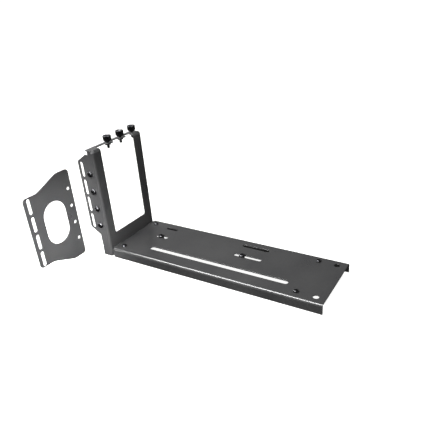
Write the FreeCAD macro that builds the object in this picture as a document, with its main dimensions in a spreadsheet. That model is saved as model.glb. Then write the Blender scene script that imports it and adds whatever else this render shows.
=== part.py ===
# Stand that holds a graphics card upright beside its slot: a folded base channel, an upright
# frame for the card's bracket, a loose adapter plate and the screws that go with them.
# Millimetres, +Z up. X runs along the base, Y from its front lip to its rear lip.

import FreeCAD, Part
import math
import os
import re
import Sketcher

# Driving dimensions. Heights are above the lower edge of the sheet they belong to.
SIZES = {
    # folded sheet, the same for every sheet piece
    "sheet_gauge": 1.2,
    "bend_inner": 1.8,
    "slot_pitch": 20.32,
    "slot_width": 4.0,
    "slot_length": 17.2,
    # base channel
    "base_length": 253.0,
    "base_depth": 80.0,
    "lip_height": 11.0,
    "cable_slot_start": 42.0,
    "cable_slot_length": 168.5,
    "cable_slot_width": 6.0,
    "cable_slot_row": 20.3,
    "riser_row": 46.5,
    "riser_slot_width": 4.2,
    "short_slot_middle": 38.5,
    "short_slot_length": 15.5,
    "long_slot_middle": 152.0,
    "long_slot_length": 32.5,
    "edge_row": 10.0,
    "foot_left": 11.5,
    "foot_right": 223.0,
    "end_hole_place": 243.0,
    "end_hole_diameter": 6.0,
    "tongue_start": 15.0,
    "tongue_length": 47.5,
    "tab_width": 11.5,
    "tab_drop": 9.0,
    # upright frame
    "frame_height": 125.5,
    "frame_width": 78.0,
    "flange_depth": 12.0,
    "front_post": 12.5,
    "rear_post": 12.0,
    "window_sill": 25.3,
    "window_corner": 2.5,
    "strip_width": 4.0,
    "screw_tab_width": 9.0,
    "bay_corner": 3.0,
    "flange_corner": 5.0,
    "thumb_row": 7.5,
    "thumb_first": 32.0,
    "collar_wall": 1.5,
    "collar_height": 1.6,
    "wing_reach": 24.5,
    "wing_neck": 8.0,
    "wing_drop": 4.7,
    "wing_length": 94.8,
    "wing_chamfer_height": 8.2,
    "wing_slot_edge": 4.9,
    "wing_slot_drop": 22.0,
    "wing_screw_row": 8.8,
    "wing_screw_drop": 25.7,
    # adapter plate and where it stands
    "plate_width": 63.7,
    "plate_tall": 104.6,
    "plate_short": 81.0,
    "plate_slope_start": 18.5,
    "plate_slope_end": 46.5,
    "plate_slope_round": 18.0,
    "plate_corner": 4.0,
    "plate_slot_edge": 6.3,
    "plate_hole_edge": 5.0,
    "plate_opening_middle": 34.4,
    "plate_opening_width": 30.4,
    "plate_opening_height": 49.0,
    "plate_standoff": 37.8,
    "plate_forward": 68.0,
    # screws, nuts and feet
    "screw_clearance": 0.05,
    "case_thread": 3.5,
    "small_thread": 3.0,
    "hole_clearance": 0.2,
    "thumb_head_diameter": 9.2,
    "thumb_head_height": 5.6,
    "thumb_seat_diameter": 7.0,
    "thumb_seat_height": 0.8,
    "thumb_length": 7.8,
    "thumb_lift": 1.2,
    "knurl_depth": 0.35,
    "knurl_land": 0.03,
    "case_head_diameter": 6.6,
    "case_head_height": 2.4,
    "case_length": 6.0,
    "riser_head_diameter": 7.2,
    "riser_head_height": 2.4,
    "riser_length": 6.0,
    "short_screw_shift": 1.3,
    "long_screw_shift": 6.5,
    "small_head_diameter": 5.6,
    "small_head_height": 2.1,
    "foot_screw_length": 7.0,
    "frame_screw_length": 5.4,
    "frame_screw_height": 4.9,
    "nut_width": 5.5,
    "nut_height": 2.4,
    "foot_diameter": 12.0,
    "foot_proud": 0.5,
    "foot_bore_depth": 8.0,
}
KNURL_COUNT = 20
CASE_SLOTS = 4
CARD_SLOTS = 3

# How close a coordinate is to zero, a point to a spot, and a direction to its axis, to count as there.
ZERO = 1e-9
ON_SPOT = 1e-3
ALONG = 0.999

# Places worked out from the driving dimensions, as text that the document's expressions use.
BEND_OUTER = "(bend_inner + sheet_gauge)"
ORIGIN_X = "-(base_length - plate_standoff - sheet_gauge)/2"
ORIGIN_Y = "-(base_depth - plate_forward)/2"
TAB_MIDDLE = "(tongue_start - tab_width/2)"
TAB_STEP = "(tongue_length + tab_width)"
ROW_STEP = "(base_depth - 2*edge_row)"
WINDOW_END = "(frame_width - rear_post)"
UNDERSIDE = "(lip_height - sheet_gauge)"
PLATE_TOP_ROW = "(plate_tall/2 + slot_pitch*%d/2)" % (CASE_SLOTS - 1)
FOOT_HEIGHT = "(foot_proud + lip_height - sheet_gauge)"
WING_TOP = "(frame_height - wing_drop)"
WING_BOTTOM = "(frame_height - wing_drop - wing_length)"
WING_SLOT_TOP = "(frame_height - wing_slot_drop)"
WING_SCREW_TOP = "(frame_height - wing_screw_drop)"
RISER_SCREW = "(short_slot_middle - short_screw_shift)"
RISER_STEP = "(long_slot_middle - long_screw_shift - short_slot_middle + short_screw_shift)"

doc = FreeCAD.newDocument("graphics_card_stand")
sheet = doc.addObject("Spreadsheet::Sheet", "sizes")
for row, (alias, value) in enumerate(SIZES.items(), start=1):
    sheet.set("A%d" % row, alias)
    sheet.set("B%d" % row, str(value))
    sheet.setAlias("B%d" % row, alias)
doc.recompute()


def tie(text):
    """The expression with each size's name pointed at the sheet."""
    return re.sub(r"[a-z_]+", lambda word: "sizes." + word[0] if word[0] in SIZES else word[0], text)


def size(text):
    """The expression's value in millimetres."""
    return float(sheet.evalExpression(tie(text)))


def new_body(label, x="0", y="0", z="foot_proud", axis=None, angle=0):
    """An empty body placed in the stand's frame, turned about an axis where one is given."""
    body = doc.addObject("PartDesign::Body", label)
    body.Label = label
    if axis is not None:
        body.Placement = FreeCAD.Placement(FreeCAD.Vector(), FreeCAD.Rotation(axis, angle))
    body.setExpression("Placement.Base.x", tie("%s + %s" % (ORIGIN_X, x)))
    body.setExpression("Placement.Base.y", tie("%s + %s" % (ORIGIN_Y, y)))
    body.setExpression("Placement.Base.z", tie(z))
    return body


def origin_part(body, role):
    """The body's own origin plane or axis with this role."""
    return next(part for part in body.Origin.OriginFeatures if part.Role == role)


def new_sketch(body, name, plane, offset="0"):
    """A sketch on one of the body's origin planes, moved along that plane's normal."""
    sketch = body.newObject("Sketcher::SketchObject", name)
    sketch.AttachmentSupport = [(origin_part(body, plane), "")]
    sketch.MapMode = "FlatFace"
    sketch.setExpression("AttachmentOffset.Base.z", tie(offset))
    return sketch


def set_size(sketch, kind, where, text):
    """A driving dimension bound to the sheet."""
    index = sketch.addConstraint(Sketcher.Constraint(kind, *where, size(text)))
    sketch.setExpression("Constraints[%d]" % index, tie(text))


def pin(sketch, geometry, point, x, y):
    """Fixes a point of the sketch at coordinates given as expressions."""
    for kind, text, axis in (("DistanceX", x, -2), ("DistanceY", y, -1)):
        value = size(text)
        if abs(value) < ZERO:
            sketch.addConstraint(Sketcher.Constraint("PointOnObject", geometry, point, axis))
        elif value > 0:
            set_size(sketch, kind, (-1, 1, geometry, point), text)
        else:
            set_size(sketch, kind, (geometry, point, -1, 1), "-(%s)" % text)


def bow(start, end, radius, turn):
    """Short circular arc between two points, turning left (1) or right (-1)."""
    chord = end - start
    side = FreeCAD.Vector(-chord.y, chord.x, 0).normalize() * turn
    rise = math.sqrt(max(radius ** 2 - (chord.Length / 2) ** 2, 0))
    centre = (start + end) / 2 + side * rise
    first, last = (start, end) if turn > 0 else (end, start)
    angles = [math.atan2(point.y - centre.y, point.x - centre.x) for point in (first, last)]
    circle = Part.Circle(centre, FreeCAD.Vector(0, 0, 1), radius)
    return Part.ArcOfCircle(circle, angles[0], angles[1] + (2 * math.pi if angles[1] < angles[0] else 0))


def outline(sketch, corners):
    """Closed outline. A corner is (x, y), or (x, y, turn, radius) where an arc leaves it."""
    points = [FreeCAD.Vector(size(corner[0]), size(corner[1]), 0) for corner in corners]
    ends = []
    for index, corner in enumerate(corners):
        start, end = points[index], points[(index + 1) % len(points)]
        if len(corner) == 2:
            side = sketch.addGeometry(Part.LineSegment(start, end))
            ends.append((side, 1, 2))
        else:
            side = sketch.addGeometry(bow(start, end, size(corner[3]), corner[2]))
            ends.append((side, 1, 2) if corner[2] > 0 else (side, 2, 1))
    for index, corner in enumerate(corners):
        side, start, end = ends[index]
        following, next_start, _ = ends[(index + 1) % len(ends)]
        sketch.addConstraint(Sketcher.Constraint("Coincident", side, end, following, next_start))
        pin(sketch, side, start, corner[0], corner[1])
        if len(corner) == 4:
            set_size(sketch, "Radius", (side,), corner[3])


def circle(sketch, x, y, diameter):
    """Full circle."""
    shape = Part.Circle(FreeCAD.Vector(size(x), size(y), 0), FreeCAD.Vector(0, 0, 1), size(diameter) / 2)
    index = sketch.addGeometry(shape)
    pin(sketch, index, 3, x, y)
    set_size(sketch, "Diameter", (index,), diameter)


def slot(sketch, x, y, length, width, upright=False):
    """Round-ended slot about its middle, along the sketch's x or y axis."""
    half = "(%s - %s)/2" % (length, width)
    radius = size(width) / 2
    along = FreeCAD.Vector(0, 1, 0) if upright else FreeCAD.Vector(1, 0, 0)
    across = FreeCAD.Vector(-along.y, along.x, 0) * radius
    middle = FreeCAD.Vector(size(x), size(y), 0)
    turn = math.atan2(along.y, along.x)
    caps = []
    for sign in (-1, 1):
        arm = "%s%s" % ("+" if sign > 0 else "-", half)
        centre = middle + along * (sign * size(half))
        base = Part.Circle(centre, FreeCAD.Vector(0, 0, 1), radius)
        begin = turn + (math.pi / 2 if sign < 0 else -math.pi / 2)
        cap = sketch.addGeometry(Part.ArcOfCircle(base, begin, begin + math.pi))
        pin(sketch, cap, 3, x if upright else x + arm, y + arm if upright else y)
        caps.append((cap, centre))
    (left, near), (right, far) = caps
    low = sketch.addGeometry(Part.LineSegment(near - across, far - across))
    high = sketch.addGeometry(Part.LineSegment(far + across, near + across))
    for first, first_end, second, second_end in ((left, 2, low, 1), (low, 2, right, 1),
                                                 (right, 2, high, 1), (high, 2, left, 1)):
        sketch.addConstraint(Sketcher.Constraint("Tangent", first, first_end, second, second_end))
    sketch.addConstraint(Sketcher.Constraint("Equal", left, right))
    set_size(sketch, "Radius", (left,), "%s/2" % width)


def hexagon(sketch, across_flats):
    """Regular hexagon about the sketch's origin, with two sides along x."""
    reach = size(across_flats) / math.sqrt(3)
    ring = sketch.addGeometry(Part.Circle(FreeCAD.Vector(), FreeCAD.Vector(0, 0, 1), reach), True)
    sketch.addConstraint(Sketcher.Constraint("Coincident", ring, 3, -1, 1))
    corners = [FreeCAD.Vector(math.cos(math.radians(60 * k)), math.sin(math.radians(60 * k)), 0) * reach
               for k in range(6)]
    sides = [sketch.addGeometry(Part.LineSegment(corners[k], corners[(k + 1) % 6])) for k in range(6)]
    for k in range(6):
        sketch.addConstraint(Sketcher.Constraint("Coincident", sides[k], 2, sides[(k + 1) % 6], 1))
        sketch.addConstraint(Sketcher.Constraint("PointOnObject", sides[k], 1, ring))
    for side in sides[1:]:
        sketch.addConstraint(Sketcher.Constraint("Equal", sides[0], side))
    sketch.addConstraint(Sketcher.Constraint("Horizontal", sides[1]))
    set_size(sketch, "Radius", (ring,), "%s/sqrt(3)" % across_flats)


def extrude(body, kind, name, sketch, length, reverse=False):
    """Pad or Pocket of a sketch by a length from the sheet."""
    feature = body.newObject("PartDesign::" + kind, name)
    feature.Profile = sketch
    feature.setExpression("Length", tie(length))
    feature.Reversed = reverse
    sketch.Visibility = False
    doc.recompute()
    return feature


def pad(body, name, sketch, length, reverse=False):
    """Pad of a sketch, along its plane's normal or against it."""
    return extrude(body, "Pad", name, sketch, length, reverse)


def pocket(body, name, sketch, length, reverse=False):
    """Pocket that has to take material away."""
    before = body.Shape.Volume
    feature = extrude(body, "Pocket", name, sketch, length, reverse)
    if not body.Shape.Volume < before:
        raise RuntimeError("%s cuts nothing" % name)
    return feature


def revolve(body, name, sketch):
    """Full turn of a half section about the body's Z axis."""
    feature = body.newObject("PartDesign::Revolution", name)
    feature.Profile = sketch
    feature.ReferenceAxis = (origin_part(body, "Z_Axis"), [""])
    feature.Angle = 360
    doc.recompute()
    return feature


def repeat(body, name, features, axis, step, count, reverse=False):
    """Copies of features along one of the body's axes, a step apart."""
    pattern = body.newObject("PartDesign::LinearPattern", name)
    pattern.Originals = features
    pattern.Direction = (origin_part(body, axis), [""])
    pattern.Reversed = reverse
    pattern.Occurrences = count
    pattern.setExpression("Length", tie("%s*%d" % (step, count - 1)))
    body.Tip = pattern
    doc.recompute()
    return pattern


def round_edges(body, name, radius, spots, along):
    """Fillet of the edges that run along an axis through the given spots."""
    names = []
    last = body.Tip
    for index, edge in enumerate(last.Shape.Edges, start=1):
        direction = edge.tangentAt(edge.FirstParameter)
        seen = [value for axis, value in zip("XYZ", edge.CenterOfMass) if axis != along]
        on_spot = any(math.dist(seen, [size(text) for text in spot]) < ON_SPOT for spot in spots)
        if on_spot and abs(getattr(direction, along.lower())) > ALONG:
            names.append("Edge%d" % index)
    if len(names) != len(spots):
        raise RuntimeError("%s finds %d of %d edges" % (name, len(names), len(spots)))
    fillet = body.newObject("PartDesign::Fillet", name)
    fillet.Base = (last, names)
    fillet.setExpression("Radius", tie(radius))
    body.Tip = fillet
    doc.recompute()
    return fillet


def base_plate():
    """Inverted channel with slots in its top and two tabs folded down at its left end."""
    body = new_body("base_plate")
    section = new_sketch(body, "channel_section", "YZ_Plane", BEND_OUTER)
    lip_inner = "lip_height - " + BEND_OUTER
    far = "base_depth - "
    outline(section, [
        ("0", "0"),
        ("sheet_gauge", "0"),
        ("sheet_gauge", lip_inner, -1, "bend_inner"),
        (BEND_OUTER, UNDERSIDE),
        (far + BEND_OUTER, UNDERSIDE, -1, "bend_inner"),
        (far + "sheet_gauge", lip_inner),
        (far + "sheet_gauge", "0"),
        ("base_depth", "0"),
        ("base_depth", lip_inner, 1, BEND_OUTER),
        (far + BEND_OUTER, "lip_height"),
        (BEND_OUTER, "lip_height", 1, BEND_OUTER),
        ("0", lip_inner),
    ])
    pad(body, "channel", section, "base_length - " + BEND_OUTER)

    tab = new_sketch(body, "tab_section", "XZ_Plane", "tab_width - tongue_start")
    outline(tab, [
        (BEND_OUTER, "lip_height", 1, BEND_OUTER),
        ("0", lip_inner),
        ("0", "lip_height - tab_drop"),
        ("sheet_gauge", "lip_height - tab_drop"),
        ("sheet_gauge", lip_inner, -1, "bend_inner"),
        (BEND_OUTER, UNDERSIDE),
    ])
    front_tab = pad(body, "front_tab", tab, "tab_width", True)
    repeat(body, "end_tabs", [front_tab], "Y_Axis", TAB_STEP, 2)

    cable = new_sketch(body, "cable_slot_outline", "XY_Plane", "lip_height")
    slot(cable, "cable_slot_start + cable_slot_length/2", "cable_slot_row", "cable_slot_length",
         "cable_slot_width")
    pocket(body, "cable_slot", cable, "sheet_gauge*2")

    riser = new_sketch(body, "riser_slot_outlines", "XY_Plane", "lip_height")
    slot(riser, "short_slot_middle", "riser_row", "short_slot_length", "riser_slot_width")
    slot(riser, "long_slot_middle", "riser_row", "long_slot_length", "riser_slot_width")
    riser_slots = pocket(body, "riser_slots", riser, "sheet_gauge*2")
    repeat(body, "riser_slot_rows", [riser_slots], "Y_Axis", "slot_pitch", 2)

    holes = new_sketch(body, "edge_hole_outlines", "XY_Plane", "lip_height")
    circle(holes, "foot_left", "edge_row", "small_thread + hole_clearance")
    circle(holes, "foot_right", "edge_row", "small_thread + hole_clearance")
    circle(holes, "end_hole_place", "edge_row", "end_hole_diameter")
    edge_holes = pocket(body, "edge_holes", holes, "sheet_gauge*2")
    repeat(body, "edge_hole_rows", [edge_holes], "Y_Axis", ROW_STEP, 2)

    joint = new_sketch(body, "tab_hole_outline", "YZ_Plane")
    circle(joint, TAB_MIDDLE, "frame_screw_height", "small_thread + hole_clearance")
    tab_hole = pocket(body, "tab_hole", joint, "sheet_gauge*2", True)
    repeat(body, "tab_holes", [tab_hole], "Y_Axis", TAB_STEP, 2)
    return body


def io_frame():
    """Upright frame: window, slotted wing on the front flange, top flange with screw tabs."""
    body = new_body("io_frame")
    inside = "-sheet_gauge"
    section = new_sketch(body, "web_section", "XY_Plane")
    outline(section, [
        ("0", "frame_width"),
        (inside, "frame_width"),
        (inside, BEND_OUTER, -1, "bend_inner"),
        ("-" + BEND_OUTER, "sheet_gauge"),
        ("-wing_reach", "sheet_gauge"),
        ("-wing_reach", "0"),
        ("-" + BEND_OUTER, "0", 1, BEND_OUTER),
        ("0", BEND_OUTER),
    ])
    web_top = "frame_height - " + BEND_OUTER
    pad(body, "web", section, web_top)

    top = new_sketch(body, "top_section", "XZ_Plane", "-" + BEND_OUTER)
    outline(top, [
        ("0", web_top, 1, BEND_OUTER),
        ("-" + BEND_OUTER, "frame_height"),
        ("-flange_depth", "frame_height"),
        ("-flange_depth", "frame_height - sheet_gauge"),
        ("-" + BEND_OUTER, "frame_height - sheet_gauge", -1, "bend_inner"),
        (inside, web_top),
    ])
    pad(body, "top_flange", top, "frame_width - " + BEND_OUTER, True)
    round_edges(body, "flange_rear_corner", "flange_corner", [("-flange_depth", "frame_width")], "Z")

    trim = new_sketch(body, "wing_trim_outline", "XZ_Plane")
    outside = "-wing_reach - sheet_gauge"
    outline(trim, [
        ("-wing_neck", "frame_height"),
        (outside, "frame_height"),
        (outside, WING_TOP + " - wing_chamfer_height"),
        ("-wing_reach", WING_TOP + " - wing_chamfer_height"),
        ("-flange_depth", WING_TOP),
        ("-wing_neck", WING_TOP),
    ])
    outline(trim, [
        ("-flange_depth", "-sheet_gauge"),
        ("-flange_depth", WING_BOTTOM),
        ("-wing_reach", WING_BOTTOM + " + wing_chamfer_height"),
        (outside, WING_BOTTOM + " + wing_chamfer_height"),
        (outside, "-sheet_gauge"),
    ])
    pocket(body, "wing_trim", trim, "sheet_gauge*2")

    neck = new_sketch(body, "wing_neck_outline", "XZ_Plane")
    outline(neck, [
        ("-wing_neck", WING_TOP),
        ("-" + BEND_OUTER, WING_TOP),
        ("-" + BEND_OUTER, "frame_height"),
        ("-wing_neck", "frame_height"),
    ])
    pad(body, "wing_neck", neck, "sheet_gauge", True)
    front = new_sketch(body, "flange_front_outline", "XY_Plane", "frame_height - sheet_gauge")
    outline(front, [
        ("-flange_depth", "sheet_gauge"),
        ("-" + BEND_OUTER, "sheet_gauge"),
        ("-" + BEND_OUTER, BEND_OUTER),
        ("-flange_depth", BEND_OUTER),
    ])
    pad(body, "flange_front", front, "sheet_gauge")

    window = new_sketch(body, "window_outline", "YZ_Plane")
    outline(window, [
        ("front_post", web_top),
        ("front_post", "window_sill + window_corner", 1, "window_corner"),
        ("front_post + window_corner", "window_sill"),
        (WINDOW_END + " - window_corner", "window_sill", 1, "window_corner"),
        (WINDOW_END, "window_sill + window_corner"),
        (WINDOW_END, web_top),
    ])
    pocket(body, "window", window, "sheet_gauge*2")

    over = new_sketch(body, "bend_opening_outline", "XY_Plane", "frame_height")
    outline(over, [
        ("-" + BEND_OUTER, "front_post"),
        ("sheet_gauge", "front_post"),
        ("sheet_gauge", WINDOW_END),
        ("-" + BEND_OUTER, WINDOW_END),
    ])
    pocket(body, "bend_opening", over, BEND_OUTER + " + window_corner")

    bays = new_sketch(body, "flange_bay_outlines", "XY_Plane", "frame_height")
    strip = "-flange_depth + strip_width"
    mouth = "-%s + sheet_gauge" % BEND_OUTER
    limits = ["front_post"]
    for index in range(CARD_SLOTS - 1):
        middle = "thumb_first + slot_pitch*%d" % index
        limits += [middle + " - screw_tab_width/2", middle + " + screw_tab_width/2"]
    limits.append(WINDOW_END)
    for start, end in zip(limits[::2], limits[1::2]):
        outline(bays, [
            (mouth, start),
            (mouth, end),
            (strip + " + bay_corner", end, 1, "bay_corner"),
            (strip, end + " - bay_corner"),
            (strip, start + " + bay_corner", 1, "bay_corner"),
            (strip + " + bay_corner", start),
        ])
    pocket(body, "flange_bays", bays, "sheet_gauge*2")

    collars = new_sketch(body, "thumb_collar_outline", "XY_Plane", "frame_height - sheet_gauge")
    circle(collars, "-thumb_row", "thumb_first", "case_thread + collar_wall*2")
    collar = pad(body, "thumb_collar", collars, "collar_height", True)
    repeat(body, "thumb_collars", [collar], "Y_Axis", "slot_pitch", CARD_SLOTS)
    thumb = new_sketch(body, "thumb_hole_outline", "XY_Plane", "frame_height")
    circle(thumb, "-thumb_row", "thumb_first", "case_thread")
    thumb_hole = pocket(body, "thumb_hole", thumb, "sheet_gauge + collar_height*2")
    repeat(body, "thumb_holes", [thumb_hole], "Y_Axis", "slot_pitch", CARD_SLOTS)

    row = new_sketch(body, "wing_row_outline", "XZ_Plane")
    slot(row, "-wing_reach + wing_slot_edge", WING_SLOT_TOP, "slot_length", "slot_width", True)
    circle(row, "-wing_screw_row", WING_SCREW_TOP, "case_thread")
    wing_row = pocket(body, "wing_row", row, "sheet_gauge*2")
    repeat(body, "wing_rows", [wing_row], "Z_Axis", "slot_pitch", CASE_SLOTS, True)

    joint = new_sketch(body, "frame_hole_outline", "YZ_Plane")
    circle(joint, TAB_MIDDLE, "frame_screw_height", "small_thread + hole_clearance")
    frame_hole = pocket(body, "frame_hole", joint, "sheet_gauge*2")
    repeat(body, "frame_holes", [frame_hole], "Y_Axis", TAB_STEP, 2)
    return body


def adapter_plate():
    """Flat plate with a slot row, a hole row and a tall opening, standing by itself."""
    body = new_body("adapter_plate", "(-plate_standoff - sheet_gauge)", "(-plate_forward)", "0")
    low = "(plate_tall - plate_short)/2"
    high = "(plate_tall + plate_short)/2"
    shape = new_sketch(body, "plate_outline", "YZ_Plane")
    outline(shape, [
        ("0", low),
        ("plate_slope_start", low),
        ("plate_slope_end", "0"),
        ("plate_width", "0"),
        ("plate_width", "plate_tall"),
        ("plate_slope_end", "plate_tall"),
        ("plate_slope_start", high),
        ("0", high),
    ])
    pad(body, "sheet", shape, "sheet_gauge")
    round_edges(body, "slope_rounds", "plate_slope_round", [
        ("plate_slope_start", low), ("plate_slope_end", "0"),
        ("plate_slope_end", "plate_tall"), ("plate_slope_start", high)], "X")
    round_edges(body, "corner_rounds", "plate_corner", [
        ("0", low), ("plate_width", "0"), ("plate_width", "plate_tall"), ("0", high)], "X")

    opening = new_sketch(body, "opening_outline", "YZ_Plane")
    slot(opening, "plate_opening_middle", "plate_tall/2", "plate_opening_height", "plate_opening_width", True)
    pocket(body, "opening", opening, "sheet_gauge", True)

    row = new_sketch(body, "plate_row_outline", "YZ_Plane")
    slot(row, "plate_slot_edge", PLATE_TOP_ROW, "slot_length", "slot_width", True)
    circle(row, "plate_width - plate_hole_edge", PLATE_TOP_ROW, "case_thread + hole_clearance")
    first = pocket(body, "plate_row", row, "sheet_gauge", True)
    repeat(body, "plate_rows", [first], "Z_Axis", "slot_pitch", CASE_SLOTS, True)
    return body


def screw(body, head_diameter, head_height, thread, length):
    """Pan-head screw with its seat at the body's origin and its head towards +Z."""
    half = new_sketch(body, "half_section", "XZ_Plane")
    shank = "(%s/2 - screw_clearance)" % thread
    rim = head_diameter + "/2"
    outline(half, [
        ("0", "-" + length),
        (shank, "-" + length),
        (shank, "0"),
        (rim, "0"),
        (rim, head_height),
        ("0", head_height),
    ])
    return revolve(body, "turned_screw", half)


def thumb_screws():
    """Knurled screws in the top flange, not driven home."""
    body = new_body("thumb_screws", "(-thumb_row)", "thumb_first", "foot_proud + frame_height + thumb_lift")
    half = new_sketch(body, "half_section", "XZ_Plane")
    shank = "(case_thread/2 - screw_clearance)"
    rim = "thumb_head_diameter/2"
    crown = "thumb_seat_height + thumb_head_height"
    outline(half, [
        ("0", "-thumb_length"),
        (shank, "-thumb_length"),
        (shank, "0"),
        ("thumb_seat_diameter/2", "0"),
        ("thumb_seat_diameter/2", "thumb_seat_height"),
        (rim, "thumb_seat_height"),
        (rim, crown),
        ("0", crown),
    ])
    turned = revolve(body, "turned_screw", half)
    repeat(body, "screw_row", [turned], "Y_Axis", "slot_pitch", CARD_SLOTS)

    root = "(thumb_head_diameter/2 - knurl_depth)"
    ridge = "(thumb_head_diameter/2 - knurl_land)"
    half_step = "180/%d" % KNURL_COUNT
    flank = "2*%s*cos(%s) - %s" % (ridge, half_step, root)
    spread = "2*%s*sin(%s)" % (ridge, half_step)
    groove = new_sketch(body, "knurl_outline", "XY_Plane", crown)
    outline(groove, [
        (root, "0"),
        (flank, "-" + spread),
        (flank, spread),
    ])
    notch = pocket(body, "knurl_groove", groove, "thumb_head_height")
    grip = body.newObject("PartDesign::MultiTransform", "knurled_heads")
    grip.Originals = [notch]
    ring = body.newObject("PartDesign::PolarPattern", "knurl_ring")
    ring.Axis = (origin_part(body, "Z_Axis"), [""])
    ring.Angle = 360
    ring.Occurrences = KNURL_COUNT
    line = body.newObject("PartDesign::LinearPattern", "knurl_line")
    line.Direction = (origin_part(body, "Y_Axis"), [""])
    line.Occurrences = CARD_SLOTS
    line.setExpression("Length", tie("slot_pitch*%d" % (CARD_SLOTS - 1)))
    grip.Transformations = [ring, line]
    body.Tip = grip
    doc.recompute()
    return body


def adapter_screws():
    """Screws in the wing, heads towards the front."""
    lowest = "foot_proud + %s - slot_pitch*%d" % (WING_SCREW_TOP, CASE_SLOTS - 1)
    body = new_body("adapter_screws", "(-wing_screw_row)", "0", lowest, FreeCAD.Vector(1, 0, 0), 90)
    turned = screw(body, "case_head_diameter", "case_head_height", "case_thread", "case_length")
    repeat(body, "screw_row", [turned], "Y_Axis", "slot_pitch", CASE_SLOTS)
    return body


def riser_screws():
    """Screws standing in the front row of riser slots."""
    body = new_body("riser_screws", RISER_SCREW, "riser_row", "foot_proud + lip_height")
    turned = screw(body, "riser_head_diameter", "riser_head_height", "small_thread", "riser_length")
    repeat(body, "screw_pair", [turned], "X_Axis", RISER_STEP, 2)
    return body


def nut(body, across_flats, height, thread):
    """Hexagon nut standing on the body's XY plane."""
    ring = new_sketch(body, "nut_outline", "XY_Plane")
    hexagon(ring, across_flats)
    circle(ring, "0", "0", thread)
    return pad(body, "nut", ring, height)


def riser_nuts():
    """Nuts of the riser screws, against the base's underside."""
    body = new_body("riser_nuts", RISER_SCREW, "riser_row", "foot_proud + %s - nut_height" % UNDERSIDE)
    first = nut(body, "nut_width", "nut_height", "small_thread")
    repeat(body, "nut_pair", [first], "X_Axis", RISER_STEP, 2)
    return body


def foot_screws():
    """Screws through the base's corners into the feet."""
    body = new_body("foot_screws", "foot_left", "edge_row", "foot_proud + lip_height")
    turned = screw(body, "small_head_diameter", "small_head_height", "small_thread", "foot_screw_length")
    pair = body.newObject("PartDesign::LinearPattern", "left_and_right")
    pair.Direction = (origin_part(body, "X_Axis"), [""])
    pair.Occurrences = 2
    pair.setExpression("Length", tie("foot_right - foot_left"))
    rows = body.newObject("PartDesign::LinearPattern", "front_and_rear")
    rows.Direction = (origin_part(body, "Y_Axis"), [""])
    rows.Occurrences = 2
    rows.setExpression("Length", tie(ROW_STEP))
    corners = body.newObject("PartDesign::MultiTransform", "corners")
    corners.Originals = [turned]
    corners.Transformations = [pair, rows]
    body.Tip = corners
    doc.recompute()
    return body


def rubber_foot(label, x, y):
    """Turned rubber foot with a blind bore for its screw."""
    body = new_body(label, x, y, "0")
    half = new_sketch(body, "half_section", "XZ_Plane")
    rim = "foot_diameter/2"
    bore = "small_thread/2"
    outline(half, [
        ("0", "0"),
        (rim, "0"),
        (rim, FOOT_HEIGHT),
        (bore, FOOT_HEIGHT),
        (bore, FOOT_HEIGHT + " - foot_bore_depth"),
        ("0", FOOT_HEIGHT + " - foot_bore_depth"),
    ])
    revolve(body, "turned_foot", half)
    return body


def frame_screws():
    """Screws from behind the frame into the base's end tabs."""
    body = new_body("frame_screws", "(-sheet_gauge)", TAB_MIDDLE, "foot_proud + frame_screw_height",
                    FreeCAD.Vector(0, 1, 0), -90)
    turned = screw(body, "small_head_diameter", "small_head_height", "small_thread", "frame_screw_length")
    repeat(body, "screw_pair", [turned], "Y_Axis", TAB_STEP, 2)
    return body


def frame_nuts():
    """Nuts of the frame screws, against the inside of the end tabs."""
    body = new_body("frame_nuts", "sheet_gauge", TAB_MIDDLE, "foot_proud + frame_screw_height",
                    FreeCAD.Vector(0, 1, 0), 90)
    first = nut(body, "nut_width", "nut_height", "small_thread")
    repeat(body, "nut_pair", [first], "Y_Axis", TAB_STEP, 2)
    return body


pieces = [base_plate(), io_frame(), adapter_plate(), thumb_screws(), adapter_screws(),
          riser_screws(), riser_nuts(), foot_screws(), frame_screws(), frame_nuts()]
for row_name, row_place in (("front", "edge_row"), ("rear", "(base_depth - edge_row)")):
    for side_name, side_place in (("left", "foot_left"), ("right", "foot_right")):
        pieces.append(rubber_foot("rubber_foot_%s_%s" % (row_name, side_name), side_place, row_place))
doc.recompute()

for item in doc.Objects:
    if "Invalid" in item.State or "Error" in item.State:
        raise RuntimeError("%s did not recompute: %s" % (item.Label, item.State))
for piece in pieces:
    if piece.Shape.isNull() or not piece.Shape.isValid():
        raise RuntimeError("%s has no valid shape" % piece.Label)

os.makedirs("parts", exist_ok=True)
for piece in pieces:
    piece.Shape.exportStep("parts/%s.step" % piece.Label)
    print("%-24s %d solids, %.1f mm3" % (piece.Label, len(piece.Shape.Solids), piece.Shape.Volume))
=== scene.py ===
import math

import bmesh
import bpy
from bpy.props import FloatProperty, FloatVectorProperty, PointerProperty
from bpy.types import NodeSocket, Operator, Panel, PropertyGroup
from mathutils import Matrix, Vector


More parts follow.
